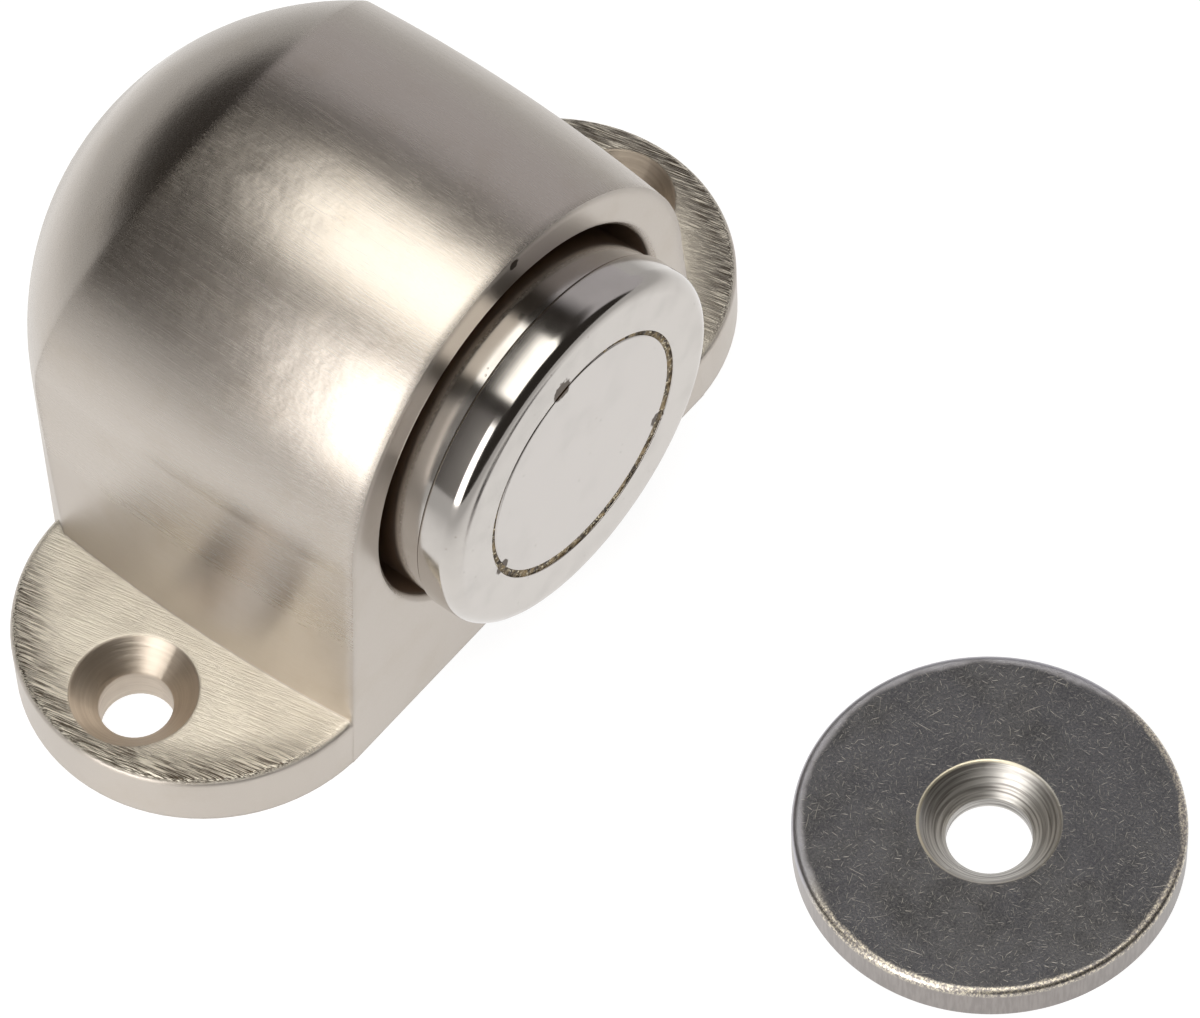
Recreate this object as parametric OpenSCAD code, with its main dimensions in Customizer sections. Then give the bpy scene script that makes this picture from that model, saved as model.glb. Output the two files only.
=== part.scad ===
// Floor-mounted magnetic door stop: a cast housing on a plate with two ears, a
// spring-backed magnet head in its bore, and the countersunk strike disc of the door.
// Up is +Z, the ears lie along X and the magnet looks towards -Y.
// The origin is on the floor plane, half way between the two screw holes.

/* [Base plate] */

// Overall length of the base plate over the ears
base_l = 56.4; // [55:0.1:64]
// Distance of each screw hole centre from the end of its ear
hole_inset = 5.2; // [4.9:0.1:5.4]
// Depth of the base plate, front to back
base_w = 24; // [23.8:0.2:25]
// Thickness of the ears
ear_t = 4; // [3.2:0.1:5]
// Rounding of the upper rim of the ears
ear_edge_r = 0.5; // [0.2:0.1:0.8]
// Diameter of the screw holes
ear_hole_d = 4.6; // [4:0.1:5]
// Diameter of the countersinks at the top of the ears
ear_csk_d = 8; // [7.4:0.1:8.4]

/* [Housing] */

// Radius of the barrel at its widest place
barrel_r = 16.2; // [15.8:0.1:17]
// Height of the barrel axis above the floor
axis_z = 17.8; // [17:0.1:20]
// Radius of the long bow that swells the barrel sides
bow_r = 120; // [100:5:300]
// Slope of the side walls below the barrel
wall_draft = 5; // [3:0.5:6]
// Depth that the side walls start inside the skin of the barrel
wall_sunk = 0.05; // [0.03:0.01:0.08]
// Radius of the ball-shaped back
dome_r = 19.5; // [19.2:0.1:20]
// Distance of the ball centre behind the screw hole line
dome_y = 1.3; // [0.8:0.1:2]
// Lift of the ball above the crown of the barrel
dome_lift = 0.9; // [0.7:0.05:1.1]
// Depth of the front bore
bore_depth = 16; // [15:0.5:18]
// Diameter of the front bore
bore_d = 25.6; // [25.2:0.1:26.4]
// Bevel round the mouth of the bore
bore_bevel = 0.3; // [0.1:0.1:0.5]

/* [Magnet head] */

// Distance of the magnet face in front of the housing face
head_out = 4.9; // [4:0.1:6]
// Diameter of the neck of the steel cup
neck_d = 23.8; // [23:0.1:23.9]
// Diameter of the collar of the steel cup
collar_d = 24.3; // [24.1:0.1:24.7]
// Length of the collar, rim bevel included
collar_l = 2.85; // [2:0.05:3.6]
// Rounding of the front rim of the collar
collar_round = 1.1; // [0.5:0.1:1.4]
// Length of the steel cup
cup_l = 13; // [12.5:0.1:14]
// Diameter of the round magnet
magnet_d = 16.3; // [14:0.1:17]
// Thickness of the magnet
magnet_t = 6; // [5:0.1:6.5]
// Width of the glue line round the magnet
glue_w = 0.35; // [0.2:0.05:0.5]
// Depth of the glue surface below the magnet face
glue_sunk = 0.25; // [0.1:0.05:0.5]
// Thickness of the web at the back of the cup
web_t = 2; // [1.5:0.1:2.5]

/* [Shoulder screw] */

// Diameter of the plain shoulder the cup slides on
shoulder_d = 6; // [5:0.1:7]
// Running clearance round the shoulder, on the radius
slide_clearance = 0.08; // [0.05:0.01:0.1]
// Diameter of the screw head
head_d = 9.5; // [8.5:0.1:10]
// Height of the screw head
head_h = 2.5; // [2:0.1:2.8]
// Width across the flats of the key socket
key_af = 4; // [3:0.5:5]
// Depth of the key socket
key_depth = 1.6; // [1:0.1:2]
// Diameter of the threaded end
thread_d = 5; // [4:0.5:5]
// Length of the threaded end
thread_l = 9; // [6:0.5:10]
// Clearance round the threaded end, on the radius
thread_clearance = 0.05; // [0.02:0.01:0.1]

/* [Spring] */

// Mean diameter of the spring coils
coil_d = 14.4; // [12:0.2:17]
// Thickness of the spring wire
wire_d = 1.2; // [0.8:0.1:1.4]
// Number of coils, flat end coils included
coils = 4; // [3.5:0.5:4.5]

/* [Strike disc] */

// Diameter of the strike disc
strike_d = 23.7; // [20:0.1:28]
// Thickness of the strike disc
strike_t = 2.6; // [2.2:0.1:3.5]
// Bevel of the two rims of the strike disc
strike_bevel = 0.25; // [0.1:0.05:0.5]
// Diameter of the screw hole in the strike disc
strike_hole_d = 5.2; // [4:0.1:5.5]
// Diameter of the countersink in the strike disc
strike_csk_d = 8.6; // [8:0.1:9]
// Sideways position of the strike disc
strike_x = 2; // [-10:0.1:10]
// Distance of the strike disc centre in front of the hole line
strike_y = 45.8; // [40:0.1:60]

/* [Hidden] */

$fn = 96;
eps = 0.01;
face_y = base_w / 2;
hole_x = base_l / 2 - hole_inset;
ear_x = base_l / 2 - base_w / 2;
dome_z = axis_z + barrel_r - dome_r + dome_lift;
floor_y = bore_depth - face_y;
front_y = -face_y - head_out;
seat_r = magnet_d / 2 + glue_w;
seat_y = front_y + magnet_t;
cup_back_y = front_y + cup_l;
web_y = cup_back_y - web_t;
pocket_r = head_d / 2 + 0.5;
coil_gap = floor_y - cup_back_y;
satin = [0.74, 0.71, 0.66];
polished = [0.86, 0.85, 0.83];
zinc = [0.62, 0.62, 0.6];
dark_steel = [0.34, 0.34, 0.35];

// Half outline of the base plate section, rounded at the upper rim
module plate_section() {
    square([base_w / 2 - ear_edge_r, ear_t]);
    square([base_w / 2, ear_t - ear_edge_r]);
    translate([base_w / 2 - ear_edge_r, ear_t - ear_edge_r])
        circle(ear_edge_r);
}

// Plate with two round ears
module base_plate() {
    for (side = [-1, 1])
        translate([side * ear_x, 0, 0])
            rotate_extrude()
                plate_section();
    translate([-ear_x, 0, 0])
        rotate([90, 0, 90])
            linear_extrude(2 * ear_x)
                union() {
                    plate_section();
                    mirror([1, 0])
                        plate_section();
                }
}

// Outline of one side of the barrel, bowed along its length, from x0 outwards
module barrel_outline(x0) {
    intersection() {
        translate([barrel_r - bow_r, dome_y])
            circle(bow_r, $fn = 360);
        translate([x0, -face_y - 2])
            square([barrel_r - x0, face_y + dome_y + dome_r + 5]);
    }
}

// Side wall that leaves the barrel nearly along its skin and slopes down and out
module side_wall() {
    translate([0, 0, axis_z])
        rotate([0, -wall_draft, 0])
            translate([-wall_sunk, 0, -axis_z - 4])
                linear_extrude(axis_z + 4)
                    barrel_outline(-4);
}

// Bowed barrel along Y on its two side walls, longer than the body at both ends
module barrel() {
    translate([0, 0, axis_z])
        rotate([-90, 0, 0])
            rotate_extrude($fn = 96)
                barrel_outline(0);
    side_wall();
    mirror([1, 0, 0])
        side_wall();
}

// Ball on an upright cylinder, the limit of the body at the back
module dome() {
    translate([0, dome_y, -6])
        rotate_extrude($fn = 96)
            intersection() {
                union() {
                    translate([0, dome_z + 6])
                        circle(dome_r);
                    square([dome_r, dome_z + 6]);
                }
                square([dome_r, dome_z + dome_r + 6]);
            }
}

// All that lies behind the ball centre and outside the ball
module behind_dome() {
    difference() {
        translate([-base_l, dome_y, -5])
            cube([2 * base_l, 2 * dome_r, 2 * axis_z + dome_r]);
        dome();
    }
}

// Screw hole with its 90 degree countersink, from the upper face at height t down
module screw_hole(d, csk_d, t) {
    rotate_extrude()
        polygon([[0, -1],
                 [d / 2, -1],
                 [d / 2, t - (csk_d - d) / 2],
                 [csk_d / 2 + 1, t + 1],
                 [0, t + 1]]);
}

// Front bore with its bevelled mouth and the screw's hole in its floor
module front_bore() {
    hole_r = thread_d / 2 + thread_clearance;
    translate([0, -face_y, axis_z])
        rotate([-90, 0, 0])
            rotate_extrude($fn = 144)
                polygon([[0, -1],
                         [bore_d / 2 + bore_bevel + 1, -1],
                         [bore_d / 2, bore_bevel],
                         [bore_d / 2, bore_depth],
                         [hole_r, bore_depth],
                         [hole_r, bore_depth + thread_l + 1],
                         [0, bore_depth + thread_l + 1]]);
}

// Cylinder along Y from y0 to y1 on the barrel axis
module rod(r0, r1, y0, y1) {
    translate([0, y0, axis_z])
        rotate([-90, 0, 0])
            cylinder(r1 = r0, r2 = r1, h = y1 - y0);
}

module housing() {
    color(satin)
        difference() {
            union() {
                base_plate();
                difference() {
                    barrel();
                    behind_dome();
                    translate([-base_l, -face_y - 10, -10])
                        cube([2 * base_l, 10, 2 * axis_z + dome_r + 10]);
                }
            }
            translate([-base_l, -base_l, -base_l])
                cube([2 * base_l, 2 * base_l, base_l]);
            for (side = [-1, 1])
                translate([side * hole_x, 0, 0])
                    screw_hole(ear_hole_d, ear_csk_d, ear_t);
            front_bore();
        }
}

// Half section of the cup, its front face at zero and its back at cup_l
module cup_section() {
    difference() {
        union() {
            square([neck_d / 2, cup_l]);
            translate([0, collar_round])
                square([collar_d / 2, collar_l - collar_round]);
            square([collar_d / 2 - collar_round, collar_l]);
            translate([collar_d / 2 - collar_round, collar_round])
                circle(collar_round);
        }
        square([seat_r, magnet_t]);
        square([pocket_r, cup_l - web_t]);
        square([shoulder_d / 2 + slide_clearance, cup_l]);
    }
}

module magnet_cup() {
    color(polished)
        translate([0, front_y, axis_z])
            rotate([-90, 0, 0])
                rotate_extrude($fn = 144)
                    cup_section();
}

module magnet() {
    color(polished)
        rod(magnet_d / 2, magnet_d / 2, front_y, seat_y);
}

module glue_line() {
    color([0.32, 0.26, 0.2])
        translate([0, front_y, axis_z])
            rotate([-90, 0, 0])
                rotate_extrude($fn = 144)
                    translate([magnet_d / 2, glue_sunk])
                        square([glue_w, magnet_t - glue_sunk]);
}

module shoulder_screw() {
    color(zinc)
        difference() {
            union() {
                rod(head_d / 2, head_d / 2, web_y - head_h, web_y);
                rod(shoulder_d / 2, shoulder_d / 2, web_y - eps, floor_y);
                rod(thread_d / 2, thread_d / 2, floor_y - eps, floor_y + thread_l);
            }
            translate([0, web_y - head_h - eps, axis_z])
                rotate([-90, 0, 0])
                    cylinder(d = key_af / cos(30), h = key_depth, $fn = 6);
        }
}

// Height of the wire centre after a turn count u, with flat first and last coils
function coil_rise(u) =
    let (flat = 0.75, lift = coil_gap - wire_d,
         s = max(0, min(1, (u - flat) / (coils - 2 * flat))))
    wire_d / 2 + lift * (3 * s * s - 2 * s * s * s) * 0.35 + lift * s * 0.65;

// Ring of points round the wire at one place of the coil
function wire_ring(u, sides) =
    [for (i = [0 : sides - 1])
        let (a = 360 * i / sides, r = coil_d / 2 + wire_d / 2 * cos(a))
        [r * cos(360 * u), r * sin(360 * u), coil_rise(u) + wire_d / 2 * sin(a)]];

module coil(steps, sides) {
    rings = [for (k = [0 : steps]) wire_ring(coils * k / steps, sides)];
    points = [for (ring = rings) for (p = ring) p];
    skin = [for (k = [0 : steps - 1]) for (i = [0 : sides - 1])
        let (j = (i + 1) % sides)
        [k * sides + i, k * sides + j, (k + 1) * sides + j, (k + 1) * sides + i]];
    first = [for (i = [sides - 1 : -1 : 0]) i];
    last = [for (i = [0 : sides - 1]) steps * sides + i];
    polyhedron(points, concat([first], skin, [last]), convexity = 8);
}

module spring() {
    color(zinc)
        translate([0, cup_back_y, axis_z])
            rotate([-90, 0, 0])
                coil(round(coils * 30), 10);
}

// Half section of the strike disc with bevelled rims
module strike_section() {
    polygon([[0, 0],
             [strike_d / 2 - strike_bevel, 0],
             [strike_d / 2, strike_bevel],
             [strike_d / 2, strike_t - strike_bevel],
             [strike_d / 2 - strike_bevel, strike_t],
             [0, strike_t]]);
}

module strike_disc() {
    color(dark_steel)
        translate([strike_x, -strike_y, 0])
            difference() {
                rotate_extrude($fn = 144)
                    strike_section();
                screw_hole(strike_hole_d, strike_csk_d, strike_t);
            }
}

housing();
magnet_cup();
magnet();
glue_line();
shoulder_screw();
spring();
strike_disc();
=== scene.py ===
"""Looks of a floor-mounted magnetic door stop: satin housing, polished magnet head and loose strike disc."""

import math

import bmesh
import bpy
from bpy.props import FloatProperty, FloatVectorProperty, IntProperty, PointerProperty
from mathutils import Matrix, Vector, noise


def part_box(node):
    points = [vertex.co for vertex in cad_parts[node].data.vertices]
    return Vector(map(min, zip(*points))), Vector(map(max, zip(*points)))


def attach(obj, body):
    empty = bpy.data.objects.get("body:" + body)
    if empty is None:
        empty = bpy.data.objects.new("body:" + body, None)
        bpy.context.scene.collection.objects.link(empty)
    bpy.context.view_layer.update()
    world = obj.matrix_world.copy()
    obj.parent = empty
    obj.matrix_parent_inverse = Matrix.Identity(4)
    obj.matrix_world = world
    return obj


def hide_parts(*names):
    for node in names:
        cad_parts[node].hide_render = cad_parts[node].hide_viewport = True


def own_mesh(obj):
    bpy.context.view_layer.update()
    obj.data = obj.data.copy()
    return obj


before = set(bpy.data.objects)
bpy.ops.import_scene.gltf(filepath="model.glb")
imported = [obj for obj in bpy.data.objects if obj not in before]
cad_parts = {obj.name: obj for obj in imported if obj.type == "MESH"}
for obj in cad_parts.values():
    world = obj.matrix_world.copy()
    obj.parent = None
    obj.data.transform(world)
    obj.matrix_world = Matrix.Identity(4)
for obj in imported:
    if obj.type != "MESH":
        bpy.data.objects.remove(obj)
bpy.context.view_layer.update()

bl_info = {
    "name": "Magnetic Door Stop",
    "version": (1, 0, 0),
    "blender": (4, 5, 0),
    "location": "View3D > Sidebar > Door Stop",
    "description": "Builds the looks of a magnetic door stop around its solid model",
    "category": "Object",
}

cup_low, cup_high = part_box("magnet_cup")
disc_low, disc_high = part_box("strike_disc")
spring_low, spring_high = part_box("spring")
head_axis = Vector((0, 0, (cup_low.z + cup_high.z) / 2))
disc_centre = (disc_low + disc_high) / 2

# The turn that lays a Z axis along the head's axis
ALONG_HEAD = (math.radians(90), 0, 0)

# Places on the housing, in metres
HOLE_X = 0.023
HOLE_RADIUS = 0.004
EAR_X = 0.0162
EAR_TOP = 0.004
FRONT = -0.012
BALL_SLACK = 0.00003
BENT_SHADING = math.radians(6)
BORE_RADIUS = 0.0128
BORE_FLOOR = 0.004
THREAD_RADIUS = 0.0026
THREAD_FLOOR = 0.014

# Chips at the head's rim and glue, and the pit in the housing's front edge: centre and size in metres
CHIPS = [((-0.00155, cup_low.y, head_axis.z + 0.0085), 0.00080),
         ((0.0068, cup_low.y, head_axis.z - 0.0041), 0.00062),
         ((-0.0078, cup_low.y, head_axis.z - 0.0027), 0.00055)]
PIT = ((0.0004, FRONT, 0.0326), 0.0004)


# Sizes and colours that a user would change

def length(name, about, value):
    """A length in metres."""
    return FloatProperty(name=name, description=about, default=value, min=0, unit="LENGTH", precision=5)


def colour(name, about, value):
    """A colour."""
    return FloatVectorProperty(name=name, description=about, default=value, min=0, max=1, size=3,
                               subtype="COLOR")


def strength(name, about, value):
    """The strength of a light."""
    return FloatProperty(name=name, description=about, default=value, min=0)


class HousingLook(bpy.types.PropertyGroup):
    satin: colour("Satin nickel", "Colour of the brushed housing", (0.555, 0.507, 0.46))
    ears: colour("Ear nickel", "Colour of the coarsely brushed ears", (0.87, 0.81, 0.70))
    shade: colour("Shade", "Colour of the darker brush lines", (0.47, 0.41, 0.34))
    bore: colour("Bore", "Colour of the unfinished bore", (0.34, 0.23, 0.16))
    # Painted shade: the near-black colour that the ears' brush lines take on towards the rims
    cut: colour("Rim shade", "Colour of the ears' brush lines near the rims, darkened as painted shade", (0.10, 0.08, 0.06))
    pit: colour("Pit", "Colour of the small pit in the front edge", (0.05, 0.035, 0.02))
    line_width: length("Brush line width", "Width of the brush lines on the barrel", 0.00008)
    line_length: length("Brush line length", "Length of the brush lines on the barrel", 0.005)
    scratch_width: length("Ear line width", "Width of the coarse brush lines on the ears", 0.00006)
    scratch_length: length("Ear line length", "Length of the coarse brush lines on the ears", 0.0022)
    edge: length("Edge rounding", "Rounding that the finishing leaves on the edges", 0.00035)
    crease: length("Crease rounding", "Softness of the crease between barrel and round back", 0.0010)
    ball: length("Ball radius", "Radius of the round back", 0.0195)
    ball_back: length("Ball distance", "Distance of the ball's centre behind the middle of the plate", 0.0013)
    ball_height: length("Ball height", "Height of the ball's centre over the floor", 0.0154)


class HeadLook(bpy.types.PropertyGroup):
    collar: length("Collar radius", "Radius of the collar of the cup", (cup_high.x - cup_low.x) / 2)
    neck: length("Neck radius", "Radius of the neck of the cup", 0.01192)
    collar_depth: length("Collar length", "Length of the collar along the axis", 0.00285)
    rim: length("Rim rounding", "Rounding of the front rim of the collar", 0.0011)
    seat: length("Seat radius", "Radius of the seat that the magnet lies in", 0.0085)
    seat_depth: length("Seat depth", "Depth of the magnet's seat", 0.006)
    magnet: length("Magnet radius", "Radius of the round magnet", 0.0081)
    offset: length("Magnet offset", "Distance that the magnet sits off centre in its glue", 0.00026)
    polish: colour("Polished nickel", "Colour of the polished cup", (0.565, 0.533, 0.503))
    plate: colour("Magnet plate", "Colour of the magnet's plating", (0.56, 0.528, 0.503))
    glue: colour("Glue", "Colour of the dried glue", (0.50, 0.37, 0.20))
    # Partly real metal dust, partly painted glints
    dust_and_glints: colour("Metal dust", "Colour of the metal dust in the glue", (0.95, 0.85, 0.62))
    chip: colour("Chip", "Colour of the dark chips at the glue", (0.055, 0.035, 0.02))
    segments: IntProperty(name="Segments", description="Steps round the turned pieces", default=256, min=48)


class StrikeLook(bpy.types.PropertyGroup):
    radius: length("Disc radius", "Radius of the strike disc", (disc_high.x - disc_low.x) / 2)
    thickness: length("Disc thickness", "Thickness of the strike disc", disc_high.z - disc_low.z)
    hole: length("Hole radius", "Radius of the screw hole", 0.0026)
    countersink: length("Countersink radius", "Radius of the countersink", 0.0043)
    rim: length("Rim rounding", "Worn rounding of the upper rim", 0.00045)
    face: colour("Tumbled face", "Colour of the dark tumbled face", (0.15, 0.148, 0.158))
    side: colour("Side", "Colour of the bare side", (0.36, 0.33, 0.315))
    wear: colour("Worn metal", "Colour of worn rims and scratches", (0.66, 0.62, 0.55))


class StageLook(bpy.types.PropertyGroup):
    floor: colour("Floor", "Colour of the plain floor", (0.25, 0.25, 0.25))
    glow: strength("Floor glow", "Light that the floor gives by itself", 0.89)
    top: strength("Top light", "Strength of the soft box overhead", 2.6)
    left: strength("Left light", "Strength of the soft panel at the left", 3.6)
    right: strength("Right light", "Strength of the soft panel at the right", 0.53)
    back: strength("Back light", "Strength of the pale wall behind", 0.45)
    room: strength("Room light", "Strength of the dim room round the set", 0.035)


# Small helpers for node trees

def place(tree, kind, inputs=None, **settings):
    """Adds one node, sets it up and fills its inputs with values or other nodes' outputs."""
    made = tree.nodes.new(kind)
    for name, value in settings.items():
        setattr(made, name, value)
    for key, value in (inputs or {}).items():
        if isinstance(value, bpy.types.NodeSocket):
            tree.links.new(value, made.inputs[key])
        else:
            made.inputs[key].default_value = value
    return made


def calc(tree, operation, a, b=0.0, clamp=False):
    """One step of arithmetic."""
    return place(tree, "ShaderNodeMath", {0: a, 1: b}, operation=operation, use_clamp=clamp).outputs[0]


def times(tree, *values):
    """Values or masks multiplied."""
    total = values[0]
    for value in values[1:]:
        total = calc(tree, "MULTIPLY", total, value)
    return total


def outside(tree, mask):
    """The opposite of a mask."""
    return calc(tree, "SUBTRACT", 1.0, mask)


def fade(tree, value, start, end, low=0.0, high=1.0):
    """A smooth step from low to high while the value goes from start to end."""
    ramp = place(tree, "ShaderNodeMapRange", {"Value": value, "From Min": start, "From Max": end,
                                              "To Min": low, "To Max": high},
                 interpolation_type="SMOOTHSTEP")
    return ramp.outputs["Result"]


def blend_colour(tree, share, a, b):
    """Two colours mixed."""
    mixer = tree.nodes.new("ShaderNodeMix")
    mixer.data_type = "RGBA"
    for index, value in ((0, share), (6, a), (7, b)):
        if isinstance(value, bpy.types.NodeSocket):
            tree.links.new(value, mixer.inputs[index])
        elif index == 0:
            mixer.inputs[index].default_value = value
        else:
            mixer.inputs[index].default_value = (*value, 1)
    return mixer.outputs[2]


def blend_value(tree, share, a, b):
    """Two values mixed."""
    mixer = place(tree, "ShaderNodeMix", {0: share, 2: a, 3: b}, data_type="FLOAT")
    return mixer.outputs[0]


def parts(tree, vector):
    """The three parts of a vector."""
    return place(tree, "ShaderNodeSeparateXYZ", {0: vector}).outputs


def joined(tree, x=0.0, y=0.0, z=0.0):
    """A vector made of three parts."""
    return place(tree, "ShaderNodeCombineXYZ", {0: x, 1: y, 2: z}).outputs[0]


def reach(tree, vector):
    """The length of a vector."""
    return place(tree, "ShaderNodeVectorMath", {0: vector}, operation="LENGTH").outputs["Value"]


def clouds(tree, vector, scale, detail, roughness=0.5):
    """A cloudy pattern of the given scale."""
    return place(tree, "ShaderNodeTexNoise", {"Vector": vector, "Scale": scale, "Detail": detail,
                                              "Roughness": roughness}).outputs["Fac"]


def grains(tree, vector, scale):
    """The distance to the nearest of many scattered points."""
    return place(tree, "ShaderNodeTexVoronoi", {"Vector": vector, "Scale": scale,
                                                "Randomness": 1.0}).outputs["Distance"]


def scaled(tree, vector, scale):
    """A vector multiplied by another, part by part."""
    return place(tree, "ShaderNodeVectorMath", {0: vector, 1: scale}, operation="MULTIPLY").outputs[0]


def turned_to(tree, vector, location=(0, 0, 0), rotation=(0, 0, 0)):
    """Coordinates centred on a place and turned."""
    moved = place(tree, "ShaderNodeVectorMath", {0: vector, 1: location}, operation="SUBTRACT")
    return place(tree, "ShaderNodeMapping", {"Vector": moved.outputs[0], "Rotation": rotation},
                 vector_type="POINT").outputs[0]


# Effects that several materials share

def new_effect(name, ins, outs):
    """An empty shader node group with named inputs and outputs."""
    tree = bpy.data.node_groups.new(name, "ShaderNodeTree")
    for title, kind, default in ins:
        socket = tree.interface.new_socket(title, in_out="INPUT", socket_type=kind)
        if default is not None:
            socket.default_value = default
    for title, kind in outs:
        tree.interface.new_socket(title, in_out="OUTPUT", socket_type=kind)
    return tree, tree.nodes.new("NodeGroupInput"), tree.nodes.new("NodeGroupOutput")


def make_brush_lines():
    """Fine parallel lines that a belt leaves, along Y of the coordinates."""
    tree, start, end = new_effect(
        "Brush lines",
        [("Vector", "NodeSocketVector", None), ("Width", "NodeSocketFloat", 0.0001),
         ("Length", "NodeSocketFloat", 0.004)],
        [("Lines", "NodeSocketFloat"), ("Patches", "NodeSocketFloat")])
    across = calc(tree, "DIVIDE", 1.0, start.outputs["Width"])
    along = calc(tree, "DIVIDE", 1.0, start.outputs["Length"])
    here = start.outputs["Vector"]
    warp = place(tree, "ShaderNodeTexNoise", {"Vector": here, "Scale": 70.0, "Detail": 1.0})
    bend = scaled(tree, warp.outputs["Color"], (0.0006, 0.0, 0.0006))
    bent = place(tree, "ShaderNodeVectorMath", {0: bend, 1: here}, operation="ADD").outputs[0]
    stretched = scaled(tree, bent, joined(tree, across, along, across))
    tree.links.new(clouds(tree, stretched, 1.0, 5.0, 0.62), end.inputs["Lines"])
    tree.links.new(clouds(tree, here, 240.0, 4.0, 0.6), end.inputs["Patches"])


def make_short_scratches():
    """Short hairline scratches in all directions, for a face that lies in the XY plane of the coordinates."""
    tree, start, end = new_effect(
        "Short scratches",
        [("Vector", "NodeSocketVector", None), ("Cell", "NodeSocketFloat", 0.0006),
         ("Slimness", "NodeSocketFloat", 12.0), ("Share", "NodeSocketFloat", 0.5)],
        [("Mask", "NodeSocketFloat")])
    size = calc(tree, "DIVIDE", 1.0, start.outputs["Cell"])
    spot = place(tree, "ShaderNodeVectorMath", {0: start.outputs["Vector"]}, operation="SCALE")
    tree.links.new(size, spot.inputs["Scale"])
    cells = place(tree, "ShaderNodeTexVoronoi", {"Vector": spot.outputs[0], "Scale": 1.0, "Randomness": 1.0},
                  voronoi_dimensions="2D")
    local = place(tree, "ShaderNodeVectorMath", {0: spot.outputs[0], 1: cells.outputs["Position"]},
                  operation="SUBTRACT")
    chance = place(tree, "ShaderNodeSeparateColor", {0: cells.outputs["Color"]})
    angle = times(tree, chance.outputs[0], math.tau)
    spun = place(tree, "ShaderNodeVectorRotate", {"Vector": local.outputs[0], "Angle": angle},
                 rotation_type="Z_AXIS")
    along, across, _ = parts(tree, spun.outputs[0])
    bow = times(tree, calc(tree, "POWER", along, 2.0), 0.1)
    off = calc(tree, "ABSOLUTE", calc(tree, "SUBTRACT", across, bow))
    thin = fade(tree, times(tree, off, start.outputs["Slimness"]), 1.0, 0.2)
    short = fade(tree, calc(tree, "ABSOLUTE", along), 0.55, 0.2)
    there = calc(tree, "LESS_THAN", chance.outputs[1], start.outputs["Share"])
    tree.links.new(times(tree, thin, short, there, chance.outputs[2]), end.inputs["Mask"])


def make_turned_rings():
    """Rings that a cutting tool leaves round the Z axis of the coordinates."""
    tree, start, end = new_effect(
        "Turned rings",
        [("Vector", "NodeSocketVector", None), ("Pitch", "NodeSocketFloat", 0.00015)],
        [("Rings", "NodeSocketFloat")])
    x, y, z = parts(tree, start.outputs["Vector"])
    radius = reach(tree, joined(tree, x, y))
    grid = joined(tree, calc(tree, "DIVIDE", radius, start.outputs["Pitch"]),
                  times(tree, calc(tree, "ARCTAN2", y, x), 0.7),
                  calc(tree, "DIVIDE", z, start.outputs["Pitch"]))
    tree.links.new(clouds(tree, grid, 1.0, 3.0), end.inputs["Rings"])


def make_chips():
    """A small ragged chip at one place."""
    tree, start, end = new_effect(
        "Chip",
        [("Vector", "NodeSocketVector", None), ("Centre", "NodeSocketVector", None),
         ("Size", "NodeSocketFloat", 0.0004)],
        [("Mask", "NodeSocketFloat")])
    ragged = clouds(tree, start.outputs["Vector"], 2600.0, 2.0)
    away = place(tree, "ShaderNodeVectorMath", {0: start.outputs["Vector"], 1: start.outputs["Centre"]},
                 operation="DISTANCE").outputs["Value"]
    edge = calc(tree, "ADD", calc(tree, "DIVIDE", away, start.outputs["Size"]), times(tree, ragged, 0.9))
    tree.links.new(fade(tree, edge, 1.5, 1.25), end.inputs["Mask"])


def use_effect(tree, name, inputs):
    """Places one of the shared effects in a material."""
    return place(tree, "ShaderNodeGroup", inputs, node_tree=bpy.data.node_groups[name]).outputs


def brush_lines(tree, vector, width, length_of_line):
    """The brush lines and patches of a brushed surface."""
    return use_effect(tree, "Brush lines", {"Vector": vector, "Width": width, "Length": length_of_line})


def turned_rings(tree, vector, pitch):
    """The rings of a turned surface."""
    return use_effect(tree, "Turned rings", {"Vector": vector, "Pitch": pitch})["Rings"]


def scratches(tree, vector, cell, slimness, share):
    """Short scratches on a flat face."""
    return use_effect(tree, "Short scratches", {"Vector": vector, "Cell": cell, "Slimness": slimness,
                                                "Share": share})["Mask"]


def chipped(tree, here, paint, places, chip):
    """A colour with dark chips at some places."""
    for centre, size in places:
        mask = use_effect(tree, "Chip", {"Vector": here, "Centre": centre, "Size": size})["Mask"]
        paint = blend_colour(tree, mask, paint, chip)
    return paint


# Materials

def new_metal(name, metallic=1.0):
    """A material with its node tree, shader and coordinates."""
    material = bpy.data.materials.new(name)
    material.use_nodes = True
    tree = material.node_tree
    shader = tree.nodes["Principled BSDF"]
    shader.inputs["Metallic"].default_value = metallic
    at = tree.nodes.new("ShaderNodeTexCoord")
    return material, tree, shader, at


def darker(colour_of, share):
    """A colour made darker."""
    return [c * share for c in colour_of]


def finish_metal(tree, shader, colours, roughness, height, depth, normal=None):
    """Feeds the shader its colour, roughness and surface relief."""
    tree.links.new(colours, shader.inputs["Base Color"])
    tree.links.new(roughness, shader.inputs["Roughness"])
    bump = place(tree, "ShaderNodeBump", {"Height": height, "Strength": 1.0, "Distance": depth})
    if normal is not None:
        tree.links.new(normal, bump.inputs["Normal"])
    tree.links.new(bump.outputs["Normal"], shader.inputs["Normal"])


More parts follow.
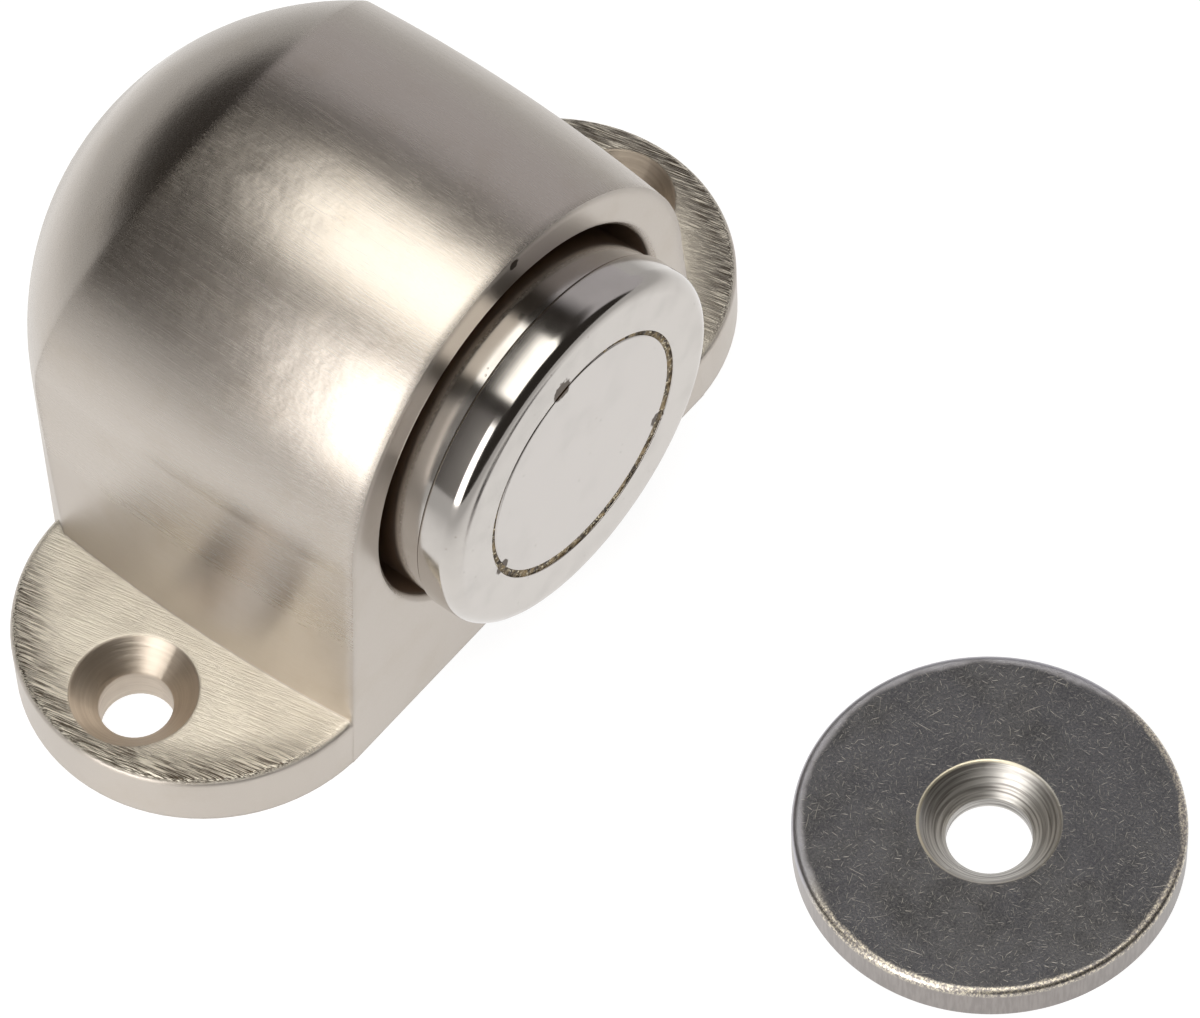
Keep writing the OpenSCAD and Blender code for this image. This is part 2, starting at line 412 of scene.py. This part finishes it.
def housing_places(tree, at):
    """Masks of the places on the housing that are finished in their own way."""
    x, y, z = parts(tree, at.outputs["Object"])
    facing = parts(tree, at.outputs["Normal"])
    beside = calc(tree, "ABSOLUTE", x)
    from_hole = calc(tree, "SUBTRACT", beside, HOLE_X)
    hole_far = reach(tree, joined(tree, from_hole, y))
    bore_far = reach(tree, joined(tree, x, calc(tree, "SUBTRACT", z, head_axis.z)))
    ear_far = reach(tree, joined(tree, calc(tree, "SUBTRACT", beside, EAR_X), y))
    in_bore = times(tree, fade(tree, bore_far, BORE_RADIUS + 0.0002, BORE_RADIUS + 0.00005),
                    fade(tree, y, FRONT + 0.00005, FRONT + 0.0008),
                    fade(tree, y, BORE_FLOOR + 0.0006, BORE_FLOOR + 0.0003))
    in_thread = times(tree, fade(tree, bore_far, THREAD_RADIUS + 0.0002, THREAD_RADIUS + 0.0001),
                      fade(tree, y, THREAD_FLOOR + 0.0006, THREAD_FLOOR + 0.0003))
    over_ears = fade(tree, z, EAR_TOP + 0.0005, EAR_TOP + 0.002)
    at_crease = times(tree, fade(tree, y, 0.004, 0.006), over_ears)
    at_front = times(tree, fade(tree, y, FRONT + 0.0018, FRONT + 0.0010),
                     fade(tree, bore_far, BORE_RADIUS + 0.0007, BORE_RADIUS + 0.0013), over_ears)
    return {
        "ear": times(tree, fade(tree, facing[2], 0.55, 0.9),
                     fade(tree, z, EAR_TOP + 0.0003, EAR_TOP + 0.0001)),
        "front": times(tree, fade(tree, facing[1], -0.8, -0.95),
                       fade(tree, y, FRONT + 0.0002, FRONT + 0.0001)),
        "hole": times(tree, fade(tree, hole_far, HOLE_RADIUS + 0.00002, HOLE_RADIUS - 0.00008),
                      fade(tree, z, EAR_TOP + 0.0002, EAR_TOP + 0.00001)),
        "bore": calc(tree, "MAXIMUM", in_bore, in_thread),
        "ear rim": times(tree, fade(tree, ear_far, 0.0080, 0.0118), fade(tree, beside, 0.016, 0.023)),
        "foot": fade(tree, z, 0.013, 0.009),
        "soft edge": calc(tree, "MAXIMUM", at_crease, at_front),
        "end on": fade(tree, calc(tree, "ABSOLUTE", facing[1]), 0.75, 0.9),
        "hole place": joined(tree, from_hole, y, z),
    }


def make_satin_nickel(look):
    """Brushed satin nickel: fine lines on the barrel, coarse ones on the ears with painted shade towards
    their rims, turned countersinks.
    """
    material, tree, shader, at = new_metal("satin nickel")
    here = at.outputs["Object"]
    on = housing_places(tree, at)

    # Brush lines of the barrel, the ears and the front, and rings in the countersinks
    along_ears = turned_to(tree, here, rotation=(0, 0, math.radians(-12)))
    along_front = turned_to(tree, here, rotation=(math.radians(90), math.radians(35), 0))
    barrel = brush_lines(tree, here, look.line_width, look.line_length)
    ears = brush_lines(tree, along_ears, look.scratch_width, look.scratch_length)
    front = brush_lines(tree, along_front, 0.00007, 0.0012)
    rings = turned_rings(tree, on["hole place"], 0.00022)
    barrel_cut = fade(tree, barrel["Lines"], 0.3, 0.72)
    ear_cut = fade(tree, ears["Lines"], 0.40, 0.58)
    relief = calc(tree, "ADD", times(tree, barrel_cut, 0.03), times(tree, barrel["Patches"], 0.45))
    ear_relief = times(tree, ear_cut, fade(tree, on["ear rim"], 0, 1, 0.3, 2.0))
    relief = blend_value(tree, on["ear"], relief, ear_relief)
    relief = blend_value(tree, on["front"], relief, times(tree, front["Lines"], 0.04))
    relief = blend_value(tree, on["hole"], relief, times(tree, rings, 0.5))

    # Colour
    # Painted shade: the ears' brush lines grow darker towards the outer rims, and their colour goes over to
    # the near-black rim colour
    ear_lines_and_painted_shade = times(tree, outside(tree, ear_cut), fade(tree, on["ear rim"], 0, 1, 0.2, 1.0))
    shade = blend_value(tree, on["ear"], times(tree, outside(tree, barrel_cut), 0.22), ear_lines_and_painted_shade)
    shade = blend_value(tree, on["hole"], shade, 0.9)
    shade = calc(tree, "ADD", shade, fade(tree, barrel["Patches"], 0.45, 0.75, 0.0, 0.3), clamp=True)
    bright = blend_colour(tree, on["ear"], look.satin, look.ears)
    dark = blend_colour(tree, times(tree, on["ear"], on["ear rim"]), look.shade, look.cut)
    paint = blend_colour(tree, shade, bright, dark)
    ringed = blend_colour(tree, rings, (0.48, 0.41, 0.34), (0.72, 0.64, 0.55))
    paint = blend_colour(tree, on["hole"], paint, ringed)
    paint = chipped(tree, here, paint, [PIT], look.pit)
    paint = blend_colour(tree, on["bore"], paint, look.bore)

    # Roughness, rounded edges and the direction of the brushing
    rough = fade(tree, barrel["Lines"], 0.2, 0.8, 0.23, 0.29)
    rough = calc(tree, "ADD", rough, times(tree, on["foot"], 0.07))
    for place_on, value in (("ear", 0.42), ("front", 0.30), ("hole", 0.46), ("bore", 0.6)):
        rough = blend_value(tree, on[place_on], rough, value)
    tree.links.new(fade(tree, on["bore"], 0.0, 1.0, 1.0, 0.1), shader.inputs["Metallic"])
    radius = blend_value(tree, on["soft edge"], look.edge, look.crease)
    edge = place(tree, "ShaderNodeBevel", {"Radius": radius}, samples=3)
    tree.links.new(joined(tree, on["end on"], outside(tree, on["end on"])), shader.inputs["Tangent"])
    shader.inputs["Anisotropic"].default_value = 0.7
    shader.inputs["Anisotropic Rotation"].default_value = 0.25
    finish_metal(tree, shader, paint, rough, relief, 0.00005, edge.outputs[0])
    return material


def make_polished_nickel(look):
    """Mirror polish with faint wipe marks and painted shade on the neck inside the bore; the front land is a
    little finer than the sides.
    """
    material, tree, shader, at = new_metal("polished nickel")
    here = at.outputs["Object"]
    depth = parts(tree, here)[1]
    cloud = clouds(tree, here, 420.0, 3.0)
    specks = fade(tree, grains(tree, here, 900.0), 0.09, 0.05)
    front = fade(tree, depth, cup_low.y + 0.0002, cup_low.y + 0.00005)
    painted_shade_in_bore = fade(tree, depth, FRONT - 0.0002, FRONT + 0.0008)
    rings = turned_rings(tree, turned_to(tree, here, head_axis, ALONG_HEAD), 0.00012)
    paint = blend_colour(tree, fade(tree, cloud, 0.4, 0.8, 0.0, 0.35), look.polish, darker(look.polish, 0.82))
    paint = blend_colour(tree, times(tree, specks, 0.25), paint, (0.2, 0.16, 0.12))
    # Painted shade: the neck darkens where it reaches back into the housing's bore
    paint = blend_colour(tree, times(tree, painted_shade_in_bore, 0.8), paint, (0.22, 0.16, 0.11))
    paint = chipped(tree, here, paint, CHIPS, look.chip)
    rough = calc(tree, "ADD", fade(tree, cloud, 0.3, 0.8, 0.10, 0.17), times(tree, front, 0.1))
    relief = calc(tree, "ADD", times(tree, rings, 0.12), times(tree, specks, -0.4))
    finish_metal(tree, shader, paint, rough, relief, 0.000004)
    return material


def make_magnet_plate(look):
    """Bright nickel plating of the magnet: very smooth, with small specks and a chipped rim."""
    material, tree, shader, at = new_metal("magnet plating")
    here = at.outputs["Object"]
    cloud = clouds(tree, here, 330.0, 4.0)
    specks = fade(tree, grains(tree, here, 700.0), 0.075, 0.04)
    paint = blend_colour(tree, fade(tree, cloud, 0.45, 0.75, 0.0, 0.3), look.plate, darker(look.plate, 0.86))
    paint = blend_colour(tree, times(tree, specks, 0.35), paint, (0.3, 0.26, 0.22))
    paint = chipped(tree, here, paint, CHIPS, look.chip)
    rough = fade(tree, cloud, 0.3, 0.8, 0.16, 0.22)
    relief = calc(tree, "ADD", clouds(tree, here, 7000.0, 2.0), times(tree, specks, -1.5))
    finish_metal(tree, shader, paint, rough, relief, 0.0000015)
    return material


def make_glue(look):
    """Dried glue with metal dust in it: brown, grainy and glinting, the glints partly painted into the dust's
    colour.
    """
    material, tree, shader, at = new_metal("dried glue", 0.0)
    here = at.outputs["Object"]
    grain = grains(tree, here, 4500.0)
    cloud = clouds(tree, here, 1500.0, 4.0)
    dust_and_glints = times(tree, fade(tree, grain, 0.38, 0.22), fade(tree, cloud, 0.38, 0.48))
    paint = blend_colour(tree, fade(tree, cloud, 0.35, 0.65), look.glue, look.chip)
    # Painted glints: the dust is a bright colour and partly not metal, so that it shines under any light
    paint = blend_colour(tree, dust_and_glints, paint, look.dust_and_glints)
    tree.links.new(times(tree, dust_and_glints, 0.6), shader.inputs["Metallic"])
    rough = blend_value(tree, dust_and_glints, 0.5, 0.3)
    finish_metal(tree, shader, paint, rough, calc(tree, "ADD", grain, cloud), 0.00008)
    return material


def make_zinc():
    """Zinc-plated steel of the shoulder screw."""
    material, tree, shader, at = new_metal("zinc plate")
    here = at.outputs["Object"]
    cloud = clouds(tree, here, 700.0, 4.0)
    rings = turned_rings(tree, turned_to(tree, here, head_axis, ALONG_HEAD), 0.0001)
    paint = blend_colour(tree, fade(tree, cloud, 0.35, 0.7), (0.62, 0.63, 0.62), (0.46, 0.47, 0.47))
    finish_metal(tree, shader, paint, fade(tree, cloud, 0.3, 0.7, 0.24, 0.4), rings, 0.000006)
    return material


def make_wire():
    """Drawn spring wire with faint drawing lines."""
    material, tree, shader, at = new_metal("spring wire")
    here = at.outputs["Object"]
    cloud = clouds(tree, here, 900.0, 5.0)
    paint = blend_colour(tree, fade(tree, cloud, 0.4, 0.7), (0.45, 0.45, 0.46), (0.25, 0.24, 0.23))
    rough = fade(tree, cloud, 0.3, 0.7, 0.24, 0.42)
    finish_metal(tree, shader, paint, rough, clouds(tree, here, 5200.0, 3.0), 0.000008)
    return material


def make_strike_steel(look):
    """Tumbled dark face with hairline scratches, bare side, bright worn rims and a turned countersink."""
    material, tree, shader, at = new_metal("strike steel")
    here = turned_to(tree, at.outputs["Object"], (disc_centre.x, disc_centre.y, 0))
    x, y, z = parts(tree, here)
    far = reach(tree, joined(tree, x, y))
    up = parts(tree, at.outputs["Normal"])[2]

    # Patterns of the tumbled face, its scratches, the side and the countersink
    mottle = clouds(tree, here, 330.0, 5.0, 0.65)
    tint = clouds(tree, here, 190.0, 2.0)
    grain = clouds(tree, here, 6500.0, 3.0, 0.7)
    side_marks = clouds(tree, scaled(tree, here, (5200.0, 5200.0, 700.0)), 1.0, 3.0)
    rings = turned_rings(tree, here, 0.00018)
    small = scratches(tree, here, 0.00026, 9.0, 0.8)
    middle = scratches(tree, turned_to(tree, here, (0.013, 0.021, 0)), 0.0005, 13.0, 0.6)
    large = scratches(tree, turned_to(tree, here, (0.031, 0.007, 0)), 0.0015, 42.0, 0.25)
    longer = calc(tree, "MAXIMUM", times(tree, middle, 0.5), times(tree, large, 0.5))
    hairs = calc(tree, "MAXIMUM", times(tree, small, 0.34), longer)

    # Masks of the face, the countersink, its lip and the worn rim, which is wider and greyer at the front
    outer = calc(tree, "ADD", far, times(tree, calc(tree, "SUBTRACT", mottle, 0.5), 0.0009))
    top, sunk, edge = look.thickness, look.countersink, look.radius
    on_face = times(tree, fade(tree, up, 0.8, 0.97), fade(tree, z, top - 0.0002, top - 0.0001))
    in_sink = fade(tree, far, sunk + 0.0001, sunk)
    on_lip = times(tree, fade(tree, far, sunk - 0.00014, sunk - 0.00005),
                   fade(tree, far, sunk + 0.00012, sunk + 0.00004), fade(tree, y, -0.001, 0.003, 0.15, 0.9))
    rear = fade(tree, calc(tree, "ADD", y, times(tree, x, 0.3)), 0.0, 0.004)
    worn = blend_value(tree, rear, fade(tree, outer, edge - 0.00055, edge - 0.0003),
                       fade(tree, outer, edge - 0.00085, edge - 0.0004))
    gritty = blend_value(tree, rear, fade(tree, grain, 0.45, 0.58), 0.7)
    on_rim = times(tree, worn, fade(tree, z, top - 0.0006, top - 0.0003), gritty)

    # Colour
    dark = blend_colour(tree, fade(tree, mottle, 0.3, 0.7), look.face, darker(look.face, 0.5))
    dark = blend_colour(tree, fade(tree, tint, 0.42, 0.62, 0.0, 0.5), dark, (0.125, 0.125, 0.145))
    dark = blend_colour(tree, fade(tree, grain, 0.35, 0.7, 0.0, 0.45), dark, (0.24, 0.23, 0.22))
    dark = blend_colour(tree, hairs, dark, look.wear)
    bare = blend_colour(tree, fade(tree, side_marks, 0.35, 0.65, 0.0, 0.5), look.side, darker(look.side, 0.7))
    sink = blend_colour(tree, fade(tree, rings, 0.35, 0.65), (0.60, 0.58, 0.55), (0.26, 0.245, 0.23))
    rim = blend_colour(tree, rear, (0.80, 0.73, 0.60), (0.55, 0.55, 0.60))
    kept = calc(tree, "SUBTRACT", 1.0, worn, clamp=True)
    paint = blend_colour(tree, times(tree, on_face, kept), bare, dark)
    paint = blend_colour(tree, on_rim, paint, rim)
    paint = blend_colour(tree, in_sink, paint, sink)
    paint = blend_colour(tree, on_lip, paint, (0.80, 0.73, 0.56))

    rough = blend_value(tree, on_face, 0.34, fade(tree, mottle, 0.3, 0.7, 0.40, 0.5))
    rough = blend_value(tree, in_sink, rough, 0.42)
    rough = blend_value(tree, hairs, rough, 0.25)
    relief = blend_value(tree, on_face, times(tree, side_marks, 0.5),
                         calc(tree, "SUBTRACT", grain, times(tree, hairs, 0.8)))
    relief = blend_value(tree, in_sink, relief, times(tree, rings, 1.2))
    finish_metal(tree, shader, paint, rough, relief, 0.000018)
    return material


def make_floor(look):
    """Plain white floor that gives a little light, as a light table does; its reflection dims further off."""
    material, tree, shader, at = new_metal("white floor", 0.0)
    here = at.outputs["Object"]
    paint = blend_colour(tree, clouds(tree, here, 40.0, 2.0), look.floor, darker(look.floor, 0.99))
    tree.links.new(paint, shader.inputs["Base Color"])
    shader.inputs["Roughness"].default_value = 0.9
    shader.inputs["Specular IOR Level"].default_value = 0.1
    seen = place(tree, "ShaderNodeLightPath").outputs["Is Camera Ray"]
    near = fade(tree, reach(tree, here), 0.02, 0.13, 1.0, 0.4)
    tree.links.new(calc(tree, "MAXIMUM", near, seen), shader.inputs["Emission Color"])
    shader.inputs["Emission Strength"].default_value = look.glow
    return material


# Turned pieces

def turned(name, corners, centre, forward, steps):
    """A piece turned from corners (radius, height, rounding), its height axis laid along forward."""
    shape = bmesh.new()
    points = [shape.verts.new((r, 0, h)) for r, h, _ in corners]
    shape.faces.new(points)
    for point, (_, _, rounding) in zip(points, corners):
        if rounding > 0:
            bmesh.ops.bevel(shape, geom=[point], offset=rounding, offset_type="OFFSET", affect="VERTICES",
                            segments=8, profile=0.5, material=-1, clamp_overlap=True)
    bmesh.ops.delete(shape, geom=shape.faces[:], context="FACES_ONLY")
    on_axis = [e for e in shape.edges if all(v.co.x < 1e-7 for v in e.verts)]
    bmesh.ops.delete(shape, geom=on_axis, context="EDGES")
    bmesh.ops.spin(shape, geom=shape.verts[:] + shape.edges[:], cent=(0, 0, 0), axis=(0, 0, 1),
                   dvec=(0, 0, 0), angle=math.tau, steps=steps, use_merge=True, use_duplicate=False)
    bmesh.ops.remove_doubles(shape, verts=shape.verts[:], dist=1e-7)
    bmesh.ops.recalc_face_normals(shape, faces=shape.faces[:])
    turn = Vector((0, 0, 1)).rotation_difference(Vector(forward)).to_matrix().to_4x4()
    bmesh.ops.transform(shape, matrix=Matrix.Translation(centre) @ turn, verts=shape.verts[:])
    return finished(name, shape)


def finished(name, shape, sharp=35):
    """Turns mesh work into an object with smooth, evenly weighted shading."""
    mesh = bpy.data.meshes.new(name)
    shape.to_mesh(mesh)
    shape.free()
    mesh.shade_smooth()
    mesh.set_sharp_from_angle(angle=math.radians(sharp))
    piece = bpy.data.objects.new(name, mesh)
    bpy.context.scene.collection.objects.link(piece)
    weights = piece.modifiers.new("Even shading", "WEIGHTED_NORMAL")
    weights.keep_sharp = True
    weights.weight = 90
    return piece


def dress(piece, material, body, replaced):
    """Gives a piece its material and its body, and hides the solid that it stands for."""
    piece.data.materials.append(material)
    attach(piece, body)
    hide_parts(replaced)
    return piece


def coat(node, material):
    """Puts a material on a CAD node."""
    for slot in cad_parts[node].material_slots:
        slot.material = material


# Operators, one for each piece or group of pieces

class DOORSTOP_OT_effects(bpy.types.Operator):
    """Make the surface effects that the materials share"""
    bl_idname = "doorstop.effects"
    bl_label = "Surface effects"

    def execute(self, context):
        make_brush_lines()
        make_short_scratches()
        make_turned_rings()
        make_chips()
        return {"FINISHED"}


class DOORSTOP_OT_housing(bpy.types.Operator):
    """Copy the cast housing with clean shading and give it its brushed satin nickel"""
    bl_idname = "doorstop.housing"
    bl_label = "Housing"

    def execute(self, context):
        look = context.scene.doorstop_housing
        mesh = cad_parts["housing"].data.copy()
        mesh.materials.clear()
        normals = [corner.vector.copy() for corner in mesh.corner_normals]
        ball = Vector((0, look.ball_back, look.ball_height))
        for face in mesh.polygons:
            corners = [mesh.vertices[v].co for v in face.vertices]
            on_ball = all(abs((at - ball).length - look.ball) < BALL_SLACK for at in corners)
            for corner, at in zip(face.loop_indices, corners):
                if on_ball:
                    normals[corner] = (at - ball).normalized()
                elif at.z > EAR_TOP + 0.0002 and normals[corner].angle(face.normal, 0) > BENT_SHADING:
                    normals[corner] = face.normal.copy()
        mesh.normals_split_custom_set(normals)
        skin = bpy.data.objects.new("housing_skin", mesh)
        context.scene.collection.objects.link(skin)
        dress(skin, make_satin_nickel(look), "base", "housing")
        return {"FINISHED"}


class DOORSTOP_OT_cup(bpy.types.Operator):
    """Turn the polished steel cup with its neck and rounded collar"""
    bl_idname = "doorstop.cup"
    bl_label = "Magnet cup"

    def execute(self, context):
        look = context.scene.doorstop_head
        deep = cup_high.y - cup_low.y
        web = deep - 0.002
        shank, screw_room = 0.00308, 0.00525
        corners = [(look.seat, 0, 0.00006), (look.collar, 0, look.rim),
                   (look.collar, look.collar_depth, 0.00023), (look.neck, look.collar_depth, 0),
                   (look.neck, deep, 0.0004), (shank, deep, 0), (shank, web, 0), (screw_room, web, 0),
                   (screw_room, look.seat_depth, 0), (look.seat, look.seat_depth, 0)]
        cup = turned("polished_cup", corners, (0, cup_low.y, head_axis.z), (0, 1, 0), look.segments)
        dress(cup, make_polished_nickel(look), "head", "magnet_cup")
        return {"FINISHED"}


class DOORSTOP_OT_magnet(bpy.types.Operator):
    """Turn the plated magnet, a little off centre in its seat"""
    bl_idname = "doorstop.magnet"
    bl_label = "Magnet"

    def execute(self, context):
        look = context.scene.doorstop_head
        away = Vector((-0.39, 0, 0.92)) * look.offset
        corners = [(0, 0, 0), (look.magnet, 0, 0.00012), (look.magnet, look.seat_depth, 0.0001),
                   (0, look.seat_depth, 0)]
        magnet = turned("magnet_plate", corners, Vector((0, cup_low.y, head_axis.z)) + away, (0, 1, 0),
                        look.segments)
        dress(magnet, make_magnet_plate(look), "head", "magnet")
        return {"FINISHED"}


class DOORSTOP_OT_glue(bpy.types.Operator):
    """Lay the rough ring of dried glue round the magnet"""
    bl_idname = "doorstop.glue"
    bl_label = "Glue line"

    def execute(self, context):
        look = context.scene.doorstop_head
        inner = look.magnet - look.offset - 0.0001
        sunk = 0.00012
        front = cup_low.y + 0.001
        corners = [(inner, sunk, 0), (look.seat, sunk, 0), (look.seat, look.seat_depth, 0),
                   (inner, look.seat_depth, 0)]
        glue = turned("glue_ring", corners, (0, cup_low.y, head_axis.z), (0, 1, 0), 720)
        shape = bmesh.new()
        shape.from_mesh(glue.data)
        across = []
        for e in shape.edges:
            near, far = [(v.co - head_axis).xz.length for v in e.verts]
            if all(v.co.y < front for v in e.verts) and abs(near - far) > 0.0001:
                across.append(e)
        bmesh.ops.subdivide_edges(shape, edges=across, cuts=5, use_grid_fill=True)
        for v in shape.verts:
            if v.co.y < front:
                v.co.y += 0.00012 * noise.noise(v.co * 2200) + 0.00006 * noise.noise(v.co * 6500)
                v.co.y = max(v.co.y, cup_low.y + 0.00001)
        shape.to_mesh(glue.data)
        shape.free()
        dress(glue, make_glue(look), "head", "glue_line")
        return {"FINISHED"}


class DOORSTOP_OT_screw(bpy.types.Operator):
    """Give the shoulder screw its zinc plate"""
    bl_idname = "doorstop.screw"
    bl_label = "Shoulder screw"

    def execute(self, context):
        coat("shoulder_screw", make_zinc())
        return {"FINISHED"}


class DOORSTOP_OT_spring(bpy.types.Operator):
    """Coil the spring that sits behind the cup and gives way when the head goes in"""
    bl_idname = "doorstop.spring"
    bl_label = "Spring"

    def execute(self, context):
        wire = 0.0006
        radius = (spring_high.x - spring_low.x) / 2 - wire
        shape = bmesh.new()
        bmesh.ops.create_circle(shape, cap_ends=False, radius=wire, segments=16,
                                matrix=Matrix.Translation((radius, spring_low.y + wire, 0)))
        ring = shape.edges[:]
        rise = spring_high.y - spring_low.y - 2 * wire
        for turns, climb in ((0.75, 0.0), (2.5, rise), (0.75, 0.0)):
            steps = int(64 * turns)
            made = bmesh.ops.spin(shape, geom=ring, cent=(0, 0, 0), axis=(0, 1, 0),
                                  dvec=(0, climb / steps, 0), angle=math.tau * turns, steps=steps,
                                  use_merge=False, use_duplicate=False)
            ring = [e for e in made["geom_last"] if isinstance(e, bmesh.types.BMEdge)]
        bmesh.ops.remove_doubles(shape, verts=shape.verts[:], dist=1e-7)
        bmesh.ops.holes_fill(shape, edges=shape.edges[:], sides=16)
        bmesh.ops.recalc_face_normals(shape, faces=shape.faces[:])
        bmesh.ops.translate(shape, verts=shape.verts[:], vec=(0, 0, head_axis.z))
        spring = finished("spring_coil", shape, 60)
        dress(spring, make_wire(), "base", "spring")
        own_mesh(spring)
        return {"FINISHED"}


class DOORSTOP_OT_strike(bpy.types.Operator):
    """Turn the countersunk strike disc"""
    bl_idname = "doorstop.strike"
    bl_label = "Strike disc"

    def execute(self, context):
        look = context.scene.doorstop_strike
        top = look.thickness
        waist = top - (look.countersink - look.hole)
        corners = [(look.hole, 0, 0.0001), (look.radius, 0, 0.0002), (look.radius, top, look.rim),
                   (look.countersink, top, 0.00008), (look.hole, waist, 0.00008)]
        disc = turned("strike_plate", corners, (disc_centre.x, disc_centre.y, disc_low.z), (0, 0, 1), 256)
        dress(disc, make_strike_steel(look), "base", "strike_disc")
        return {"FINISHED"}


class DOORSTOP_OT_stage(bpy.types.Operator):
    """Set out the floor, the soft light and the camera"""
    bl_idname = "doorstop.stage"
    bl_label = "Stage"

    def execute(self, context):
        look = context.scene.doorstop_stage
        ground = bmesh.new()
        bmesh.ops.create_grid(ground, x_segments=4, y_segments=4, size=4.0)
        bmesh.ops.translate(ground, verts=ground.verts[:], vec=(0, 0, -0.00003))
        floor = finished("floor", ground)
        floor.data.materials.append(make_floor(look))
        light_studio(context.scene, look)
        aim_camera(context.scene)
        context.scene.view_settings.view_transform = "Standard"
        return {"FINISHED"}


def light_studio(scene, look):
    """A dim room with a soft box overhead and soft panels at the left and right."""
    world = bpy.data.worlds.new("studio")
    scene.world = world
    world.use_nodes = True
    tree = world.node_tree
    dx, dy, dz = parts(tree, tree.nodes.new("ShaderNodeTexCoord").outputs["Generated"])
    lean = calc(tree, "ARCTAN2", dz, dx)

    def panel(low, high, soft, front, back, blur_back=0.03):
        """Soft-edged panel between two angles round the Y axis, in degrees, and two places along it."""
        low, high, blur = math.radians(low), math.radians(high), math.radians(soft)
        return times(tree, fade(tree, lean, low - blur, low + blur),
                     fade(tree, lean, high + blur, high - blur),
                     fade(tree, dy, back + blur_back, back - blur_back),
                     fade(tree, dy, front - 0.05, front + 0.05))

    wall = times(tree, fade(tree, dy, 0.5, 0.7), fade(tree, dz, 0.18, -0.06))
    lights = (((1.0, 0.88, 0.78), look.room),
              ((1.0, 0.985, 0.93), times(tree, panel(72, 114, 2.5, -0.5, 0.41), look.top)),
              ((1.0, 0.97, 0.94), times(tree, panel(126, 190, 5.0, -0.35, 0.46, 0.08), look.left * 0.055)),
              ((1.0, 0.985, 0.96), times(tree, panel(131, 192, 4.0, -0.3, 0.285, 0.06), look.left)),
              ((0.98, 0.96, 1.0), times(tree, panel(-14, 46, 8.0, -0.5, 0.75), look.right)),
              ((1.0, 0.99, 0.98), times(tree, wall, look.back)))
    total = joined(tree)
    for tone, light in lights:
        lit = place(tree, "ShaderNodeVectorMath", {0: tone, "Scale": light}, operation="SCALE")
        total = place(tree, "ShaderNodeVectorMath", {0: total, 1: lit.outputs[0]}, operation="ADD").outputs[0]
    seen = place(tree, "ShaderNodeLightPath").outputs["Is Camera Ray"]
    shown = blend_colour(tree, seen, total, (1, 1, 1))
    tree.links.new(shown, tree.nodes["Background"].inputs["Color"])


def aim_camera(scene):
    """Camera at the photograph's viewing angle."""
    turn, rise, roll = math.radians(-48.327), math.radians(56.427), 0.056829
    back = Vector((math.sin(turn) * math.cos(rise), -math.cos(turn) * math.cos(rise), math.sin(rise)))
    right = (-back).cross(Vector((0, 0, 1))).normalized()
    down = (-back).cross(right)
    across = math.cos(roll) * right + math.sin(roll) * down
    upright = math.sin(roll) * right - math.cos(roll) * down
    data = bpy.data.cameras.new("camera")
    data.sensor_width = 36
    data.lens = 238.2
    data.clip_start = 0.01
    data.clip_end = 20
    camera = bpy.data.objects.new("camera", data)
    scene.collection.objects.link(camera)
    place_at = Matrix((across, upright, back)).transposed().to_4x4()
    place_at.translation = Vector((-0.195907, -0.192330, 0.408111))
    camera.matrix_world = place_at
    scene.camera = camera


class DOORSTOP_PT_panel(bpy.types.Panel):
    """Lists the pieces of the door stop in build order"""
    bl_label = "Door Stop"
    bl_idname = "DOORSTOP_PT_panel"
    bl_space_type = "VIEW_3D"
    bl_region_type = "UI"
    bl_category = "Door Stop"

    def draw(self, context):
        for step in STEPS:
            self.layout.operator(step.bl_idname)
        for name, kind in LOOKS.items():
            group = getattr(context.scene, name)
            box = self.layout.box()
            for key in kind.__annotations__:
                box.prop(group, key)


STEPS = (DOORSTOP_OT_effects, DOORSTOP_OT_housing, DOORSTOP_OT_cup, DOORSTOP_OT_magnet, DOORSTOP_OT_glue,
         DOORSTOP_OT_screw, DOORSTOP_OT_spring, DOORSTOP_OT_strike, DOORSTOP_OT_stage)
LOOKS = {"doorstop_housing": HousingLook, "doorstop_head": HeadLook, "doorstop_strike": StrikeLook,
         "doorstop_stage": StageLook}


def register():
    for kind in (*LOOKS.values(), *STEPS, DOORSTOP_PT_panel):
        bpy.utils.register_class(kind)
    for name, kind in LOOKS.items():
        setattr(bpy.types.Scene, name, PointerProperty(type=kind))


def unregister():
    for name in LOOKS:
        delattr(bpy.types.Scene, name)
    for kind in (DOORSTOP_PT_panel, *reversed(STEPS), *LOOKS.values()):
        bpy.utils.unregister_class(kind)


def main():
    register()
    bpy.ops.doorstop.effects()
    bpy.ops.doorstop.housing()
    bpy.ops.doorstop.cup()
    bpy.ops.doorstop.magnet()
    bpy.ops.doorstop.glue()
    bpy.ops.doorstop.screw()
    bpy.ops.doorstop.spring()
    bpy.ops.doorstop.strike()
    bpy.ops.doorstop.stage()


if __name__ == "__main__":
    main()
